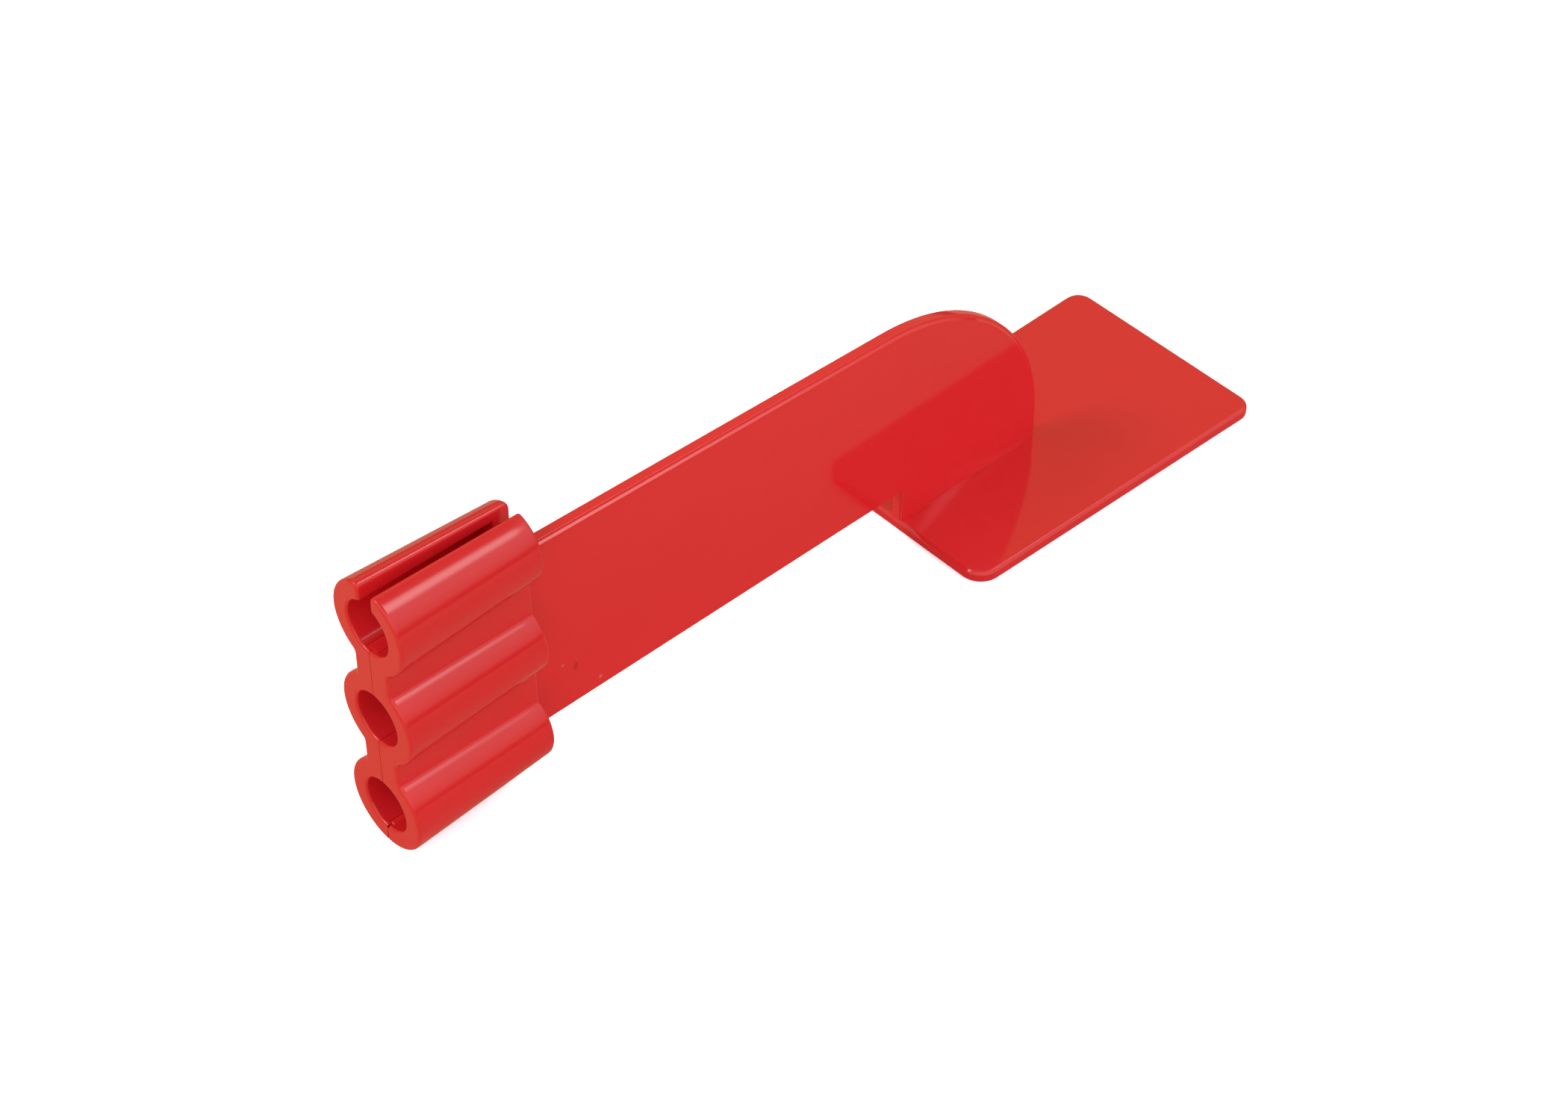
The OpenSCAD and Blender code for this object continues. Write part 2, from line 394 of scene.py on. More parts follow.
def jaw_ring(clip, kinds, places, insets, flares, far):
    """Closed outline of half the clip at every station, as distance from the seam and height.

    Outside, three lobes are circles joined by webs, with a fillet tangent to both: its
    centre is the lobe radius plus the fillet radius from the lobe's axis. The lip is a
    circle inside the top lobe that touches the slot's wall, and the neck a circle outside
    the socket that touches it too. Inside, the depth from the seam is the largest of the
    sockets, the pockets and the rib's groove at that height.
    """
    blade = bpy.context.scene.lever_blade
    count = len(places)
    along = (places - JAW_LOW.x) / (JAW_HIGH.x - JAW_LOW.x)
    lobe_open = -JAW_LOW.y
    lobe_r = lobe_open + (clip.lobe_r_blade - lobe_open) * along - insets
    web = clip.web_half_open + (clip.web_half_blade - clip.web_half_open) * along - insets
    bore = SOCKET_R + flares
    slot = clip.slot_open + (clip.slot_half - clip.slot_open) * along + flares
    wall = lobe_r - bore
    lip_r, neck_r = clip.lip_share * wall, clip.neck_share * wall
    lip_rise = np.sqrt((lobe_r - lip_r) ** 2 - (slot + lip_r) ** 2)
    lip_angle = np.arctan2(lip_rise, slot + lip_r)
    neck_rise = np.sqrt((bore + neck_r) ** 2 - (slot + neck_r) ** 2)
    neck_angle = np.arctan2(neck_rise, slot + neck_r)

    room = clip.pocket_clear if far else 0.0
    groove_r = RIB_R + (clip.rib_clear if far else 0.0)
    half_blade = (BLADE_HIGH.y - BLADE_LOW.y) / 2 + room
    low, middle, top = SOCKET_Z
    pockets = [
        (low + SOCKET_R - clip.proud - room, middle - SOCKET_R - clip.tongue_wall + room),
        (middle + SOCKET_R + clip.tongue_wall - room, top - SOCKET_R + clip.proud + room)]
    root = (blade.low_z - room, blade.top_clip_z + clip.proud + room)

    def depth(z):
        """Distance from the middle plane to the jaw's inner wall between the sockets."""
        found = np.full(z.shape, clip.seam_half)
        if far:
            found = np.maximum(found, (RIB_Z - z) * math.tan(OPENING))
        is_socket = (kinds == SOCKET)[:, None]
        for floor_z, roof_z in pockets:
            inside = is_socket & (z > floor_z) & (z < roof_z)
            found = np.where(inside, half_blade, found)
        groove = np.sqrt(np.maximum(groove_r ** 2 - (z - RIB_Z) ** 2, 0))
        found = np.where(is_socket, np.maximum(found, groove), found)
        inside = (kinds == CLOSED)[:, None] & (z > root[0]) & (z < root[1])
        return np.where(inside, half_blade, found)

    # Outside, from the bottom seam up to the lip
    fillet = clip.web_fillet
    rise = np.sqrt((lobe_r + fillet) ** 2 - (web + fillet) ** 2)
    lean = np.arctan2(rise, web + fillet)
    bottom_z = low - lobe_r
    bottom_w = depth(bottom_z[:, None])[:, 0]
    outer = []
    for k, z in enumerate(SOCKET_Z):
        start = np.arcsin(bottom_w / lobe_r) - QUARTER if k == 0 else -lean
        end = lean if k < 2 else lip_angle
        outer.append(arcs(0, z, lobe_r, start, end, 44)[:, (k > 0):])
        if k < 2:
            above = SOCKET_Z[k + 1]
            outer.append(arcs(web + fillet, z + rise, fillet, lean + math.pi, math.pi, 8)[:, 1:])
            outer.append(arcs(web + fillet, above - rise, fillet, math.pi, math.pi - lean, 8))
    outer.append(arcs(slot + lip_r, top + lip_rise, lip_r, lip_angle, math.pi, 12)[:, 1:])

    # Inside, from the slot down to the bottom seam
    is_closed = (kinds == CLOSED)[:, None]
    neck = arcs(slot + neck_r, top + neck_rise, neck_r, math.pi, math.pi + neck_angle, 10)
    neck[..., 0] = np.where(is_closed, slot[:, None], neck[..., 0])
    upper = arcs(0, top, bore, neck_angle, 0, 24)[:, 1:]
    upper[..., 0] = np.where(is_closed, slot[:, None], upper[..., 0])
    inner = [neck, upper]

    def socket_wall(z, angles):
        """A socket's wall at the angles, never nearer the seam than the depth there."""
        height = z + bore[:, None] * np.sin(angles)
        round_wall = np.where(is_closed, 0, bore[:, None] * np.cos(angles))
        return np.stack([np.maximum(round_wall, depth(height)), height], axis=-1)

    def seam_wall(heights):
        """The inner wall at heights that every station shares."""
        z = np.broadcast_to(np.asarray(heights), (count, len(heights)))
        return np.stack([depth(z), z], axis=-1)

    def with_steps(angles, z, heights):
        """The angles, with a pair added on both sides of each height where depth steps."""
        extra = [math.asin((h + side * STEP - z) / SOCKET_R) for h in heights for side in (-1, 1)]
        return np.array(sorted([*angles, *extra], reverse=True))

    just_under = -1e-5
    half_turn = np.linspace(QUARTER, -QUARTER, 49)
    top_angles = with_steps(np.linspace(just_under, -QUARTER, 25), top, [root[1], pockets[1][1]])
    inner.append(socket_wall(top, top_angles))
    inner.append(seam_wall([pockets[1][0] + STEP, pockets[1][0] - STEP]))
    inner.append(socket_wall(middle, half_turn))
    inner.append(seam_wall([pockets[0][1] + STEP, pockets[0][1] - STEP]))
    inner.append(socket_wall(low, with_steps(half_turn, low, [pockets[0][0], root[0]])))
    # The groove is open above this angle, where it meets the low socket's floor
    groove_open = math.radians(50)
    groove_turn = np.linspace(groove_open, -QUARTER, 18)
    inner.append(seam_wall(RIB_Z + groove_r * np.sin(groove_turn)))
    return np.concatenate([*outer, *inner], axis=1)


def build_jaw(name, far, material):
    """One jaw: the closed outline carried through its stations, with both ends capped."""
    clip = bpy.context.scene.lever_clip
    places, kinds, insets, flares = jaw_stations(clip)
    rings = jaw_ring(clip, kinds, places, insets, flares, far)
    side = 1 if far else -1
    points = swept_points(places[:, None], side * rings[..., 0], rings[..., 1])
    # The painted rim glow, a lighter, warmer red, fades out behind the rim's rounding
    fade = 1.5 * clip.rim_r
    near = np.clip(1 - (places - JAW_LOW.x) / fade, 0, 1)
    near = np.broadcast_to(near[:, None], rings.shape[:2])
    node, body = ("far_jaw", "swing_jaw") if far else ("near_jaw", "lever")
    return make_piece(name, points, capped_faces(*rings.shape[:2]), near, node, body,
                      material)


# ---------------------------------------------------------------- rib, blade and plate

def build_rib(material):
    """The hinge rib: a circle carried along +X, with a rounded edge at both flat ends.

    The edges are quarter rounds of a third of the rib's radius.
    """
    away, inset = rounding(RIB_R / 3, EDGE_STEPS, flat=0)
    places = np.concatenate([RIB_LOW.x + away, RIB_HIGH.x - away[::-1]])
    radii = RIB_R - np.concatenate([inset, inset[::-1]])[:, None]
    ring = arcs(0, 0, 1, 0, 2 * math.pi, 48)[0, :-1]
    points = swept_points(places[:, None], radii * ring[:, 0], RIB_Z + radii * ring[:, 1])
    # Every point of the rib counts as near an edge, so the whole rib takes the painted rim glow
    return make_piece("moulded_hinge_rib", points, capped_faces(len(places), len(ring)),
                      np.ones(len(points)), "hinge_rib", "lever", material)


def blade_outline(blade, clip):
    """Outline of the blade in the middle plane, and each point's share of the rounding.

    A straight lower edge, a foot that goes into the plate, an arc round the far end that
    ends where it is tangent to the falling upper edge, and two tongues in the clip.
    """
    low, middle, top = SOCKET_Z
    foot_x = PLATE_LOW.x + blade.foot_x
    foot_z = PLATE_HIGH.z - blade.foot_sink
    centre_x = BLADE_HIGH.x - blade.end_r
    centre_z = blade.low_z - blade.end_drop
    fall = math.atan((blade.top_clip_z - centre_z - blade.end_r) / (centre_x - JAW_HIGH.x))
    end_arc = arcs(centre_x, centre_z, blade.end_r, 0, QUARTER - fall, 72)[0]
    tongue_x = JAW_LOW.x + clip.tongue_inset
    tongues = [
        (middle + SOCKET_R + clip.tongue_wall, top - SOCKET_R + clip.proud),
        (low + SOCKET_R - clip.proud, middle - SOCKET_R - clip.tongue_wall)]
    # The root starts a little behind the sockets' closed ends, and the rounding inside the clip
    root_x = SOCKET_END_X + 0.3 * MM
    hidden_x = JAW_HIGH.x - 0.6 * MM
    # Points close to where the rounding starts and stops keep the long edges' normals true
    guard = 0.3 * MM
    sharp = [(root_x, blade.low_z)]
    rounded = [(x, blade.low_z) for x in (hidden_x, hidden_x + guard, foot_x - guard, foot_x)]
    foot = [(foot_x, foot_z), (BLADE_HIGH.x, foot_z)]
    end_arc = np.concatenate([[(BLADE_HIGH.x, PLATE_HIGH.z)], end_arc])
    back = [(hidden_x + guard, blade.top_clip_z - guard * math.tan(fall)),
            (hidden_x, blade.top_clip_z), (root_x, blade.top_clip_z)]
    for floor_z, roof_z in tongues:
        back += [(root_x, roof_z), (tongue_x, roof_z), (tongue_x, floor_z), (root_x, floor_z)]
    # The back starts with two points on the upper edge that are still rounded
    parts = [(sharp, 0), (rounded, 1), (foot, 0), (end_arc, 1), (back[:2], 1), (back[2:], 0)]
    outline = np.concatenate([part for part, _ in parts])
    share = np.concatenate([np.full(len(part), float(value)) for part, value in parts])
    return outline, share


def build_blade(material):
    """The blade: its outline carried through its thickness with rounded edges."""
    blade, clip = bpy.context.scene.lever_blade, bpy.context.scene.lever_clip
    outline, share = blade_outline(blade, clip)
    rings, depth, near = slab_rings(
        outline, share, BLADE_LOW.y, BLADE_HIGH.y,
        ledge_rounding(blade.edge_r, blade.ledge, blade.ledge_slant, blade.ledge_drop),
        rounding(blade.edge_r, EDGE_STEPS))
    points = swept_points(rings[..., 0], depth[:, None], rings[..., 1])
    return make_piece("moulded_arm_blade", points, capped_faces(*rings.shape[:2]), near,
                      "arm_blade", "lever", material)


def build_plate(material):
    """The rest plate: a rounded outline carried up with rounded edges, and two slots.

    Each flat face is two halves that meet on the middle line and pass round the slots.
    """
    plate, blade = bpy.context.scene.lever_plate, bpy.context.scene.lever_blade
    in_r, out_r = plate.corner_in, plate.corner_out
    in_y = plate.width_in / 2 - in_r
    out_y = PLATE_HIGH.y - out_r
    in_x, out_x = PLATE_LOW.x + in_r, PLATE_HIGH.x - out_r
    steps = 14
    near_half = np.concatenate([
        [[PLATE_LOW.x, 0]],
        arcs(in_x, -in_y, in_r, 2 * QUARTER, 3 * QUARTER, steps)[0],
        arcs(out_x, -out_y, out_r, -QUARTER, 0, steps)[0]])
    far_half = np.concatenate([
        [[PLATE_HIGH.x, 0]],
        arcs(out_x, out_y, out_r, 0, QUARTER, steps)[0],
        arcs(in_x, in_y, in_r, QUARTER, 2 * QUARTER, steps)[0]])
    outline = np.concatenate([near_half, far_half])
    rings, depth, near = slab_rings(
        outline, np.ones(len(outline)), PLATE_HIGH.z, PLATE_LOW.z,
        rounding(plate.edge_r, EDGE_STEPS, bevel=plate.bevel, slant=plate.slant),
        rounding(plate.edge_r, EDGE_STEPS))
    stations, count = rings.shape[:2]
    points = swept_points(rings[..., 0], rings[..., 1], depth[:, None])

    # Corners of the slots, six points each, at the top and at the underside
    first_x = PLATE_LOW.x + blade.foot_x + plate.slot_x
    starts = [first_x, first_x + plate.slot_pitch]
    flat = [(x + dx, y) for x in starts for dx, y in (
        (0, 0), (0, -plate.slot_half), (plate.slot_l, -plate.slot_half),
        (plate.slot_l, 0), (plate.slot_l, plate.slot_half), (0, plate.slot_half))]
    slots = np.array([(x, y, z) for z in (PLATE_HIGH.z, PLATE_LOW.z) for x, y in flat])
    base = len(points)
    points = np.concatenate([points, slots])
    near = np.concatenate([near.reshape(-1), np.zeros(len(slots))])
    faces = ring_faces(stations, count)
    split = len(near_half)
    for ring, corner in ((0, base), (stations - 1, base + len(flat))):
        outer = [ring * count + i for i in range(count)]
        one, two = [corner + i for i in range(6)], [corner + 6 + i for i in range(6)]
        low_side = [two[3], two[2], two[1], two[0], one[3], one[2], one[1], one[0]]
        high_side = [one[0], one[5], one[4], one[3], two[0], two[5], two[4], two[3]]
        faces.append(outer[:split] + [outer[split]] + low_side)
        faces.append(outer[split:] + [outer[0]] + high_side)
    for first in (base, base + 6):
        upper = [first + i for i in range(6)]
        under = [first + len(flat) + i for i in range(6)]
        for i in range(6):
            after = (i + 1) % 6
            faces.append([upper[i], upper[after], under[after], under[i]])
    return make_piece("moulded_rest_plate", points, faces, near, "rest_plate", "lever",
                      material)


# ---------------------------------------------------------------- shader groups

class Tree:
    """Small helper that adds nodes to a node tree and links them."""

    def __init__(self, tree):
        self.tree = tree

    def add(self, kind, inputs=(), **settings):
        """A node of that kind; inputs are pairs of socket name or number and value or socket."""
        node = self.tree.nodes.new(kind)
        for key, value in settings.items():
            setattr(node, key, value)
        for key, value in inputs:
            if isinstance(value, bpy.types.NodeSocket):
                self.tree.links.new(value, node.inputs[key])
            else:
                node.inputs[key].default_value = value
        return node

    def maths(self, operation, a, b, clamp=False):
        """The result of one Math node."""
        node = self.add("ShaderNodeMath", [(0, a), (1, b)], operation=operation, use_clamp=clamp)
        return node.outputs[0]

    def vector(self, operation, a, b):
        """The result of one Vector Math node, as a vector."""
        node = self.add("ShaderNodeVectorMath", [(0, a), (1, b)], operation=operation)
        return node.outputs["Vector"]

    def size(self, vector):
        """The length of a vector."""
        return self.add("ShaderNodeVectorMath", [(0, vector)], operation="LENGTH").outputs["Value"]

    def place(self):
        """The place of the shaded point in the object's own metres."""
        return self.add("ShaderNodeTexCoord").outputs["Object"]

    def between(self, value, ends):
        """0 before the first end, 1 past the second and smooth in between."""
        node = self.add("ShaderNodeMapRange", [
            ("Value", value), ("From Min", ends[0]), ("From Max", ends[1])],
            interpolation_type="SMOOTHSTEP")
        return node.outputs["Result"]

    def mix(self, factor, a, b):
        """One colour mixed into another; on a colour mix the sockets are 0, 6 and 7."""
        node = self.add("ShaderNodeMix", [(0, factor), (6, a), (7, b)], data_type="RGBA")
        return node.outputs[2]


def new_group(name, inputs, outputs):
    """An empty shader group with the named inputs and outputs."""
    group = bpy.data.node_groups.new(name, "ShaderNodeTree")
    for label, kind, value in inputs:
        socket = group.interface.new_socket(label, in_out="INPUT", socket_type=kind)
        socket.default_value = value
    for label, kind in outputs:
        group.interface.new_socket(label, in_out="OUTPUT", socket_type=kind)
    return Tree(group), group.nodes.new("NodeGroupInput"), group.nodes.new("NodeGroupOutput")


def noise(tree, place, scale, detail=2.0, rough=0.5):
    """Factor of a noise texture."""
    node = tree.add("ShaderNodeTexNoise", [
        ("Vector", place), ("Scale", scale), ("Detail", detail), ("Roughness", rough)])
    return node.outputs["Fac"]


def moulded_skin_group():
    """Height of a moulded skin: slow waves of shrinkage under a fine orange peel."""
    tree, enter, leave = new_group(
        "Moulded skin",
        [("Peel scale", "NodeSocketFloat", 900.0), ("Wave scale", "NodeSocketFloat", 60.0),
         ("Wave share", "NodeSocketFloat", 6.0)],
        [("Height", "NodeSocketFloat")])
    place = tree.place()
    peel = noise(tree, place, enter.outputs["Peel scale"], 2.0)
    wave = noise(tree, place, enter.outputs["Wave scale"], 1.0)
    height = tree.maths("ADD", peel, tree.maths("MULTIPLY", wave, enter.outputs["Wave share"]))
    tree.tree.links.new(height, leave.inputs["Height"])
    return tree.tree


def colour_drift_group():
    """Mask of slow streaks in the colour, drawn out along the flow of the plastic."""
    tree, enter, leave = new_group(
        "Colour drift",
        [("Scale", "NodeSocketFloat", 35.0), ("Stretch", "NodeSocketVector", (0.35, 1.0, 1.0))],
        [("Mask", "NodeSocketFloat")])
    streaks = (0.35, 0.65)
    flow = tree.vector("MULTIPLY", tree.place(), enter.outputs["Stretch"])
    cloud = noise(tree, flow, enter.outputs["Scale"], 3.0, 0.55)
    tree.tree.links.new(tree.between(cloud, streaks), leave.inputs["Mask"])
    return tree.tree


def handling_group():
    """Masks of fine rubbed scratches and of sparse specks of dust."""
    tree, enter, leave = new_group(
        "Handling marks",
        [("Scratch scale", "NodeSocketFloat", 260.0), ("Speck scale", "NodeSocketFloat", 180.0),
         ("Speck size", "NodeSocketFloat", 0.06)],
        [("Rubbed", "NodeSocketFloat"), ("Specks", "NodeSocketFloat")])
    scratches, rubbed_places, rare = (0.62, 0.74), (0.45, 0.65), 0.86
    place = tree.place()
    # The scratches are drawn out along +X
    drawn = tree.add("ShaderNodeMapping", [
        ("Vector", place), ("Rotation", (0.0, 0.5, 0.0)), ("Scale", (0.06, 1.0, 1.0))])
    lines = noise(tree, drawn.outputs[0], enter.outputs["Scratch scale"], 4.0, 0.6)
    cloud = noise(tree, place, 90.0, 2.0)
    rubbed = tree.maths(
        "MULTIPLY", tree.between(lines, scratches), tree.between(cloud, rubbed_places))
    cells = tree.add("ShaderNodeTexVoronoi", [
        ("Vector", place), ("Scale", enter.outputs["Speck scale"]), ("Randomness", 1.0)])
    spot = tree.maths("LESS_THAN", cells.outputs["Distance"], enter.outputs["Speck size"])
    picked = tree.add("ShaderNodeSeparateColor", [("Color", cells.outputs["Color"])])
    chosen = tree.maths("GREATER_THAN", picked.outputs[0], rare)
    tree.tree.links.new(rubbed, leave.inputs["Rubbed"])
    tree.tree.links.new(tree.maths("MULTIPLY", spot, chosen), leave.inputs["Specks"])
    return tree.tree


def painted_rim_glow_group():
    """Mask of the painted rim glow on rounded edges, broken up by a fine noise."""
    tree, enter, leave = new_group(
        "Soft edge",
        [("Break scale", "NodeSocketFloat", 700.0), ("Break", "NodeSocketFloat", 0.35)],
        [("Mask", "NodeSocketFloat")])
    stored = tree.add("ShaderNodeAttribute", attribute_name="near_edge").outputs["Fac"]
    cloud = noise(tree, tree.place(), enter.outputs["Break scale"], 3.0)
    broken = tree.maths("MULTIPLY", cloud, enter.outputs["Break"])
    mask = tree.maths("SUBTRACT", stored, broken, clamp=True)
    tree.tree.links.new(mask, leave.inputs["Mask"])
    return tree.tree


def small_flaw_group():
    """Mask of one small soft-edged spot in the skin, broken up a little by noise."""
    tree, enter, leave = new_group(
        "Small flaw",
        [("Place", "NodeSocketVector", (0.0, 0.0, 0.0)), ("Size", "NodeSocketFloat", 0.0004),
         ("Stretch", "NodeSocketVector", (1.0, 1.0, 1.0))],
        [("Mask", "NodeSocketFloat")])
    # The spot fades out between these shares of its size, the noise included
    soft_rim = (1.5, 0.8)
    place = tree.place()
    off = tree.vector("SUBTRACT", place, enter.outputs["Place"])
    reach = tree.size(tree.vector("MULTIPLY", off, enter.outputs["Stretch"]))
    ragged = tree.maths("MULTIPLY", noise(tree, place, 1500.0, 2.0), enter.outputs["Size"])
    share = tree.maths("DIVIDE", tree.maths("ADD", reach, ragged), enter.outputs["Size"])
    tree.tree.links.new(tree.between(share, soft_rim), leave.inputs["Mask"])
    return tree.tree


GROUP_MAKERS = {
    "Moulded skin": moulded_skin_group,
    "Colour drift": colour_drift_group,
    "Handling marks": handling_group,
    "Soft edge": painted_rim_glow_group,
    "Small flaw": small_flaw_group,
}


def group_node(tree, name, **values):
    """A group placed in a material with its own values."""
    shared = bpy.data.node_groups.get(name) or GROUP_MAKERS[name]()
    node = tree.add("ShaderNodeGroup", node_tree=shared)
    for key, value in values.items():
        node.inputs[key.replace("_", " ").capitalize()].default_value = value
    return node


def red_plastic(name, rough, edge, painted_shade=1.0, peel=900.0, peel_height=0.4e-6, dust=0.0,
                stretch=(0.35, 1.0, 1.0), flaws=()):
    """Glossy red moulded plastic with its own colour drift, skin, dust and flaws, and a painted rim
    glow: a lighter, warmer red on rounded edges, as strong as edge says.

    The painted shade darkens the whole red of a part that this light leaves too bright. A flaw is a
    place, a size, a stretch in height, a strength and a colour.
    """
    finish = bpy.context.scene.lever_finish
    drift = 0.45
    material = bpy.data.materials.new(name)
    material.use_nodes = True
    nodes = material.node_tree.nodes
    nodes.clear()
    tree = Tree(material.node_tree)
    # A painted shade below one makes the whole red darker; rim is the lighter, warmer red of the
    # painted rim glow
    base, deep, rim = (
        (*(painted_shade * part for part in c), 1.0) for c in (finish.base, finish.deep, finish.edge))
    chips = (*finish.dust, 1.0)
    streaks = group_node(tree, "Colour drift", stretch=stretch).outputs["Mask"]
    painted_rim_glow = group_node(tree, "Soft edge").outputs["Mask"]
    marks = group_node(tree, "Handling marks")
    skin = group_node(tree, "Moulded skin", peel_scale=peel).outputs["Height"]
    body = tree.mix(tree.maths("MULTIPLY", streaks, drift), base, deep)
    # Painted rim glow: rounded edges are mixed towards the lighter, warmer rim red
    body = tree.mix(tree.maths("MULTIPLY", painted_rim_glow, edge), body, rim)
    body = tree.mix(tree.maths("MULTIPLY", marks.outputs["Specks"], dust), body, chips)
    for place, size, stretch_z, strength, tone in flaws:
        spot = group_node(tree, "Small flaw", place=place, size=size, stretch=(1.0, 1.0, stretch_z))
        body = tree.mix(tree.maths("MULTIPLY", spot.outputs["Mask"], strength), body, (*tone, 1.0))
    gloss = tree.add("ShaderNodeMapRange", [
        ("Value", marks.outputs["Rubbed"]), ("To Min", rough), ("To Max", finish.worn)])
    bump = tree.add("ShaderNodeBump", [
        ("Height", skin), ("Distance", peel_height), ("Strength", 1.0)])
    shader = tree.add("ShaderNodeBsdfPrincipled", [
        ("Base Color", body), ("Roughness", gloss.outputs["Result"]),
        ("Normal", bump.outputs["Normal"]), ("IOR", 1.5)])
    tree.add("ShaderNodeOutputMaterial", [("Surface", shader.outputs["BSDF"])])
    return material


# ---------------------------------------------------------------- studio

def build_floor(stage):
    """A round floor. It shows white, and it bounces light as a warm table does, darker and redder
    near the lever as a painted shade.
    """
    ring = arcs(0, 0, stage.floor_size, 0, 2 * math.pi, 96)[0, :-1]
    points = np.concatenate([ring, np.zeros((len(ring), 1))], axis=1)
    mesh = bpy.data.meshes.new("studio_floor")
    mesh.from_pydata(points.tolist(), [], [list(range(len(ring)))])
    floor = bpy.data.objects.new("studio_floor", mesh)
    bpy.context.scene.collection.objects.link(floor)
    material = bpy.data.materials.new("Studio floor")
    material.use_nodes = True
    material.node_tree.nodes.clear()
    tree = Tree(material.node_tree)
    # Brighter than white, so that the floor stays white in all but the closest shade
    over_white = (2.3, 2.5, 3.0, 1.0)
    # Distances from the lever's middle where the painted shade near the lever starts and ends giving
    # way to the far tone
    tone_change = (0.10, 0.40)
    seen = tree.add("ShaderNodeBsdfDiffuse", [("Color", over_white)])
    far_share = tree.between(tree.size(tree.place()), tone_change)
    tone = tree.mix(far_share, (*stage.floor_painted_shade, 1.0), (*stage.floor_far, 1.0))
    bounced = tree.add("ShaderNodeBsdfDiffuse", [("Color", tone)])
    path = tree.add("ShaderNodeLightPath")
    both = tree.add("ShaderNodeMixShader", [
        (0, path.outputs["Is Camera Ray"]), (1, bounced.outputs[0]), (2, seen.outputs[0])])
    tree.add("ShaderNodeOutputMaterial", [("Surface", both.outputs[0])])
    mesh.materials.append(material)


def build_surroundings(stage):
    """Soft studio surroundings, a soft patch of light above the front and a key light.

    The brightness is chosen by the height of the direction, and mixed between front and
    back by its part along Y and towards the left by its part along X. The patch and the key
    light are full near their own directions and fade out between the given angles.
    """
    world = bpy.data.worlds.new("Studio")
    world.use_nodes = True
    world.node_tree.nodes.clear()
    tree = Tree(world.node_tree)
    direction = tree.add("ShaderNodeTexCoord").outputs["Generated"]
    parts = tree.add("ShaderNodeSeparateXYZ", [(0, direction)])
    along, across, height = parts.outputs[0], parts.outputs[1], parts.outputs[2]
    gap, front_low, front_high, back_wall, left_wall, ceiling = (
        (*c, 1.0) for c in (stage.gap, stage.front_low, stage.front_high, stage.back_wall,
                            stage.left_wall, stage.ceiling))
    # Where each part gives way to the next, as parts of a direction one unit long
    front_change, back_change, left_change = (0.15, 0.62), (-0.55, 0.35), (-0.35, -0.85)
    ceiling_change, gap_change = (0.74, 0.90), (0.05, 0.24)
    wall = tree.mix(tree.between(height, front_change), front_low, front_high)
    wall = tree.mix(tree.between(across, back_change), wall, back_wall)
    wall = tree.mix(tree.between(along, left_change), wall, left_wall)
    wall = tree.mix(tree.between(height, ceiling_change), wall, ceiling)
    wall = tree.mix(tree.between(height, gap_change), gap, wall)
    glows = []
    for towards, full, fade, glow in (
            (stage.patch, stage.patch_full, stage.patch_fade, stage.patch_glow),
            (stage.key, stage.key_full, stage.key_fade, stage.key_glow)):
        turn = tree.add("ShaderNodeVectorMath", [
            (0, direction), (1, Vector(towards).normalized())], operation="DOT_PRODUCT")
        near = tree.between(turn.outputs["Value"], (math.cos(fade), math.cos(full)))
        glows.append(tree.maths("MULTIPLY", near, glow))
    lit = tree.vector("ADD", wall, tree.maths("ADD", *glows))
    path = tree.add("ShaderNodeLightPath")
    shown = tree.mix(path.outputs["Is Camera Ray"], lit, WHITE)
    background = tree.add("ShaderNodeBackground", [("Color", shown), ("Strength", 1.0)])
    tree.add("ShaderNodeOutputWorld", [("Surface", background.outputs[0])])
    bpy.context.scene.world = world


def build_camera(stage):
    """The camera: turned by yaw and pitch, at the distance behind the point it looks at."""
    data = bpy.data.cameras.new("studio_camera")
    data.lens = stage.lens
    data.sensor_fit = "HORIZONTAL"
    data.sensor_width = 36.0
    data.clip_start, data.clip_end = 0.01, 20.0
    camera = bpy.data.objects.new("studio_camera", data)
    camera.rotation_euler = Euler((QUARTER - stage.pitch, 0, -stage.yaw))
    forward = camera.rotation_euler.to_matrix() @ Vector((0, 0, -1))
    camera.location = Vector(stage.aim) - forward * stage.distance
    bpy.context.scene.collection.objects.link(camera)
    bpy.context.scene.camera = camera


# ---------------------------------------------------------------- operators and panel

class LEVER_OT_jaws(bpy.types.Operator):
    """Build the clip's fixed near jaw and its swinging far jaw"""
    bl_idname = "lever.jaws"
    bl_label = "Clip jaws"

    def execute(self, context):
        finish = context.scene.lever_finish
        # The clip's red takes a painted shade, darker so that the clip is not too bright under this
        # light
        plastic = red_plastic(
            "Red clip plastic", finish.clip_rough, edge=0.8, painted_shade=0.92, peel=800.0, dust=0.2)
        build_jaw("moulded_near_jaw", False, plastic)
        build_jaw("moulded_far_jaw", True, plastic)
        return {"FINISHED"}


class LEVER_OT_rib(bpy.types.Operator):
    """Build the rib that the far jaw swings on"""
    bl_idname = "lever.rib"
    bl_label = "Hinge rib"

    def execute(self, context):
        finish = context.scene.lever_finish
        build_rib(red_plastic("Red rib plastic", finish.clip_rough, edge=0.9))
        return {"FINISHED"}


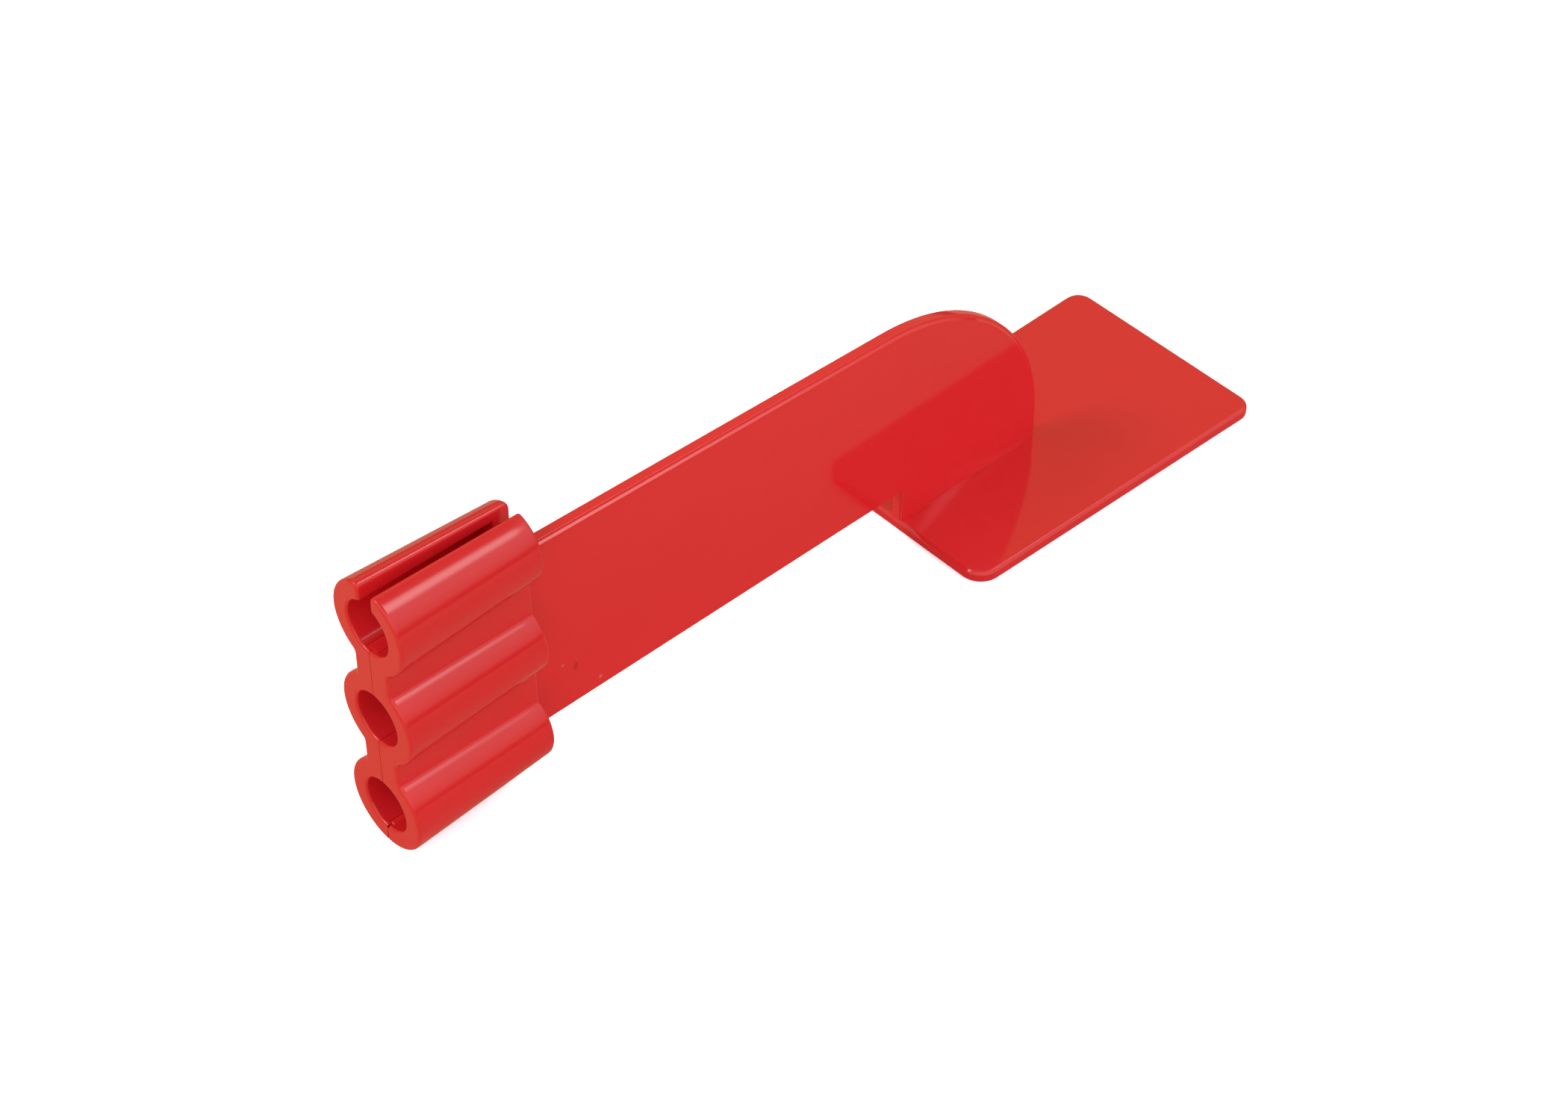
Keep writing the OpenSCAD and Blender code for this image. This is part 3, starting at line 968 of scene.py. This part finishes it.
class LEVER_OT_blade(bpy.types.Operator):
    """Build the blade with its tongues and foot"""
    bl_idname = "lever.blade"
    bl_label = "Arm blade"

    def execute(self, context):
        finish = context.scene.lever_finish
        side = BLADE_LOW.y
        pale, dark = finish.dust, tuple(0.45 * part for part in finish.deep)
        # Two pale spots and a dark spot low on the blade, next to the clip
        flaws = (
            ((-50.6 * MM, side, 17.7 * MM), 0.34 * MM, 1.0, 0.5, pale),
            ((-43.4 * MM, side, 10.5 * MM), 0.45 * MM, 1.0, 0.6, pale),
            ((-48.1 * MM, side, 15.9 * MM), 0.50 * MM, 0.5, 0.6, dark))
        build_blade(red_plastic(
            "Red blade plastic", finish.flat_rough, edge=0.5, peel=700.0, peel_height=0.25e-6,
            flaws=flaws))
        return {"FINISHED"}


class LEVER_OT_plate(bpy.types.Operator):
    """Build the rest plate with its two slots"""
    bl_idname = "lever.plate"
    bl_label = "Rest plate"

    def execute(self, context):
        finish = context.scene.lever_finish
        # The plate's red takes a painted shade, darker so that its top is not too bright under this
        # light
        build_plate(red_plastic(
            "Red plate plastic", finish.flat_rough, edge=0.8, painted_shade=0.92, peel=700.0,
            peel_height=0.25e-6, stretch=(1.0, 0.5, 1.0)))
        return {"FINISHED"}


class LEVER_OT_stage(bpy.types.Operator):
    """Build the floor, the surroundings and the camera"""
    bl_idname = "lever.stage"
    bl_label = "Studio"

    def execute(self, context):
        stage = context.scene.lever_stage
        build_floor(stage)
        build_surroundings(stage)
        build_camera(stage)
        context.scene.view_settings.view_transform = "Standard"
        return {"FINISHED"}


class LEVER_PT_panel(bpy.types.Panel):
    """Lists the lever's builders and sizes"""
    bl_idname = "LEVER_PT_panel"
    bl_label = "Slotted clip lever"
    bl_space_type = "VIEW_3D"
    bl_region_type = "UI"
    bl_category = "Lever"

    def draw(self, context):
        for operator in OPERATORS:
            self.layout.operator(operator.bl_idname)
        for name in SETTINGS:
            box = self.layout.box()
            group = getattr(context.scene, name)
            for key in group.__annotations__:
                box.prop(group, key)


SETTINGS = {
    "lever_clip": LeverClipSizes,
    "lever_blade": LeverBladeSizes,
    "lever_plate": LeverPlateSizes,
    "lever_finish": LeverFinish,
    "lever_stage": LeverStage,
}
OPERATORS = (LEVER_OT_jaws, LEVER_OT_rib, LEVER_OT_blade, LEVER_OT_plate, LEVER_OT_stage)


def register():
    """Registers the classes and gives the scene its settings."""
    for group in SETTINGS.values():
        bpy.utils.register_class(group)
    for name, group in SETTINGS.items():
        setattr(bpy.types.Scene, name, bpy.props.PointerProperty(type=group))
    for operator in OPERATORS:
        bpy.utils.register_class(operator)
    bpy.utils.register_class(LEVER_PT_panel)


def unregister():
    """Takes back what register added."""
    bpy.utils.unregister_class(LEVER_PT_panel)
    for operator in reversed(OPERATORS):
        bpy.utils.unregister_class(operator)
    for name, group in reversed(SETTINGS.items()):
        delattr(bpy.types.Scene, name)
        bpy.utils.unregister_class(group)


def main():
    register()
    bpy.ops.lever.stage()
    bpy.ops.lever.jaws()
    bpy.ops.lever.rib()
    bpy.ops.lever.blade()
    bpy.ops.lever.plate()


if __name__ == "__main__":
    main()
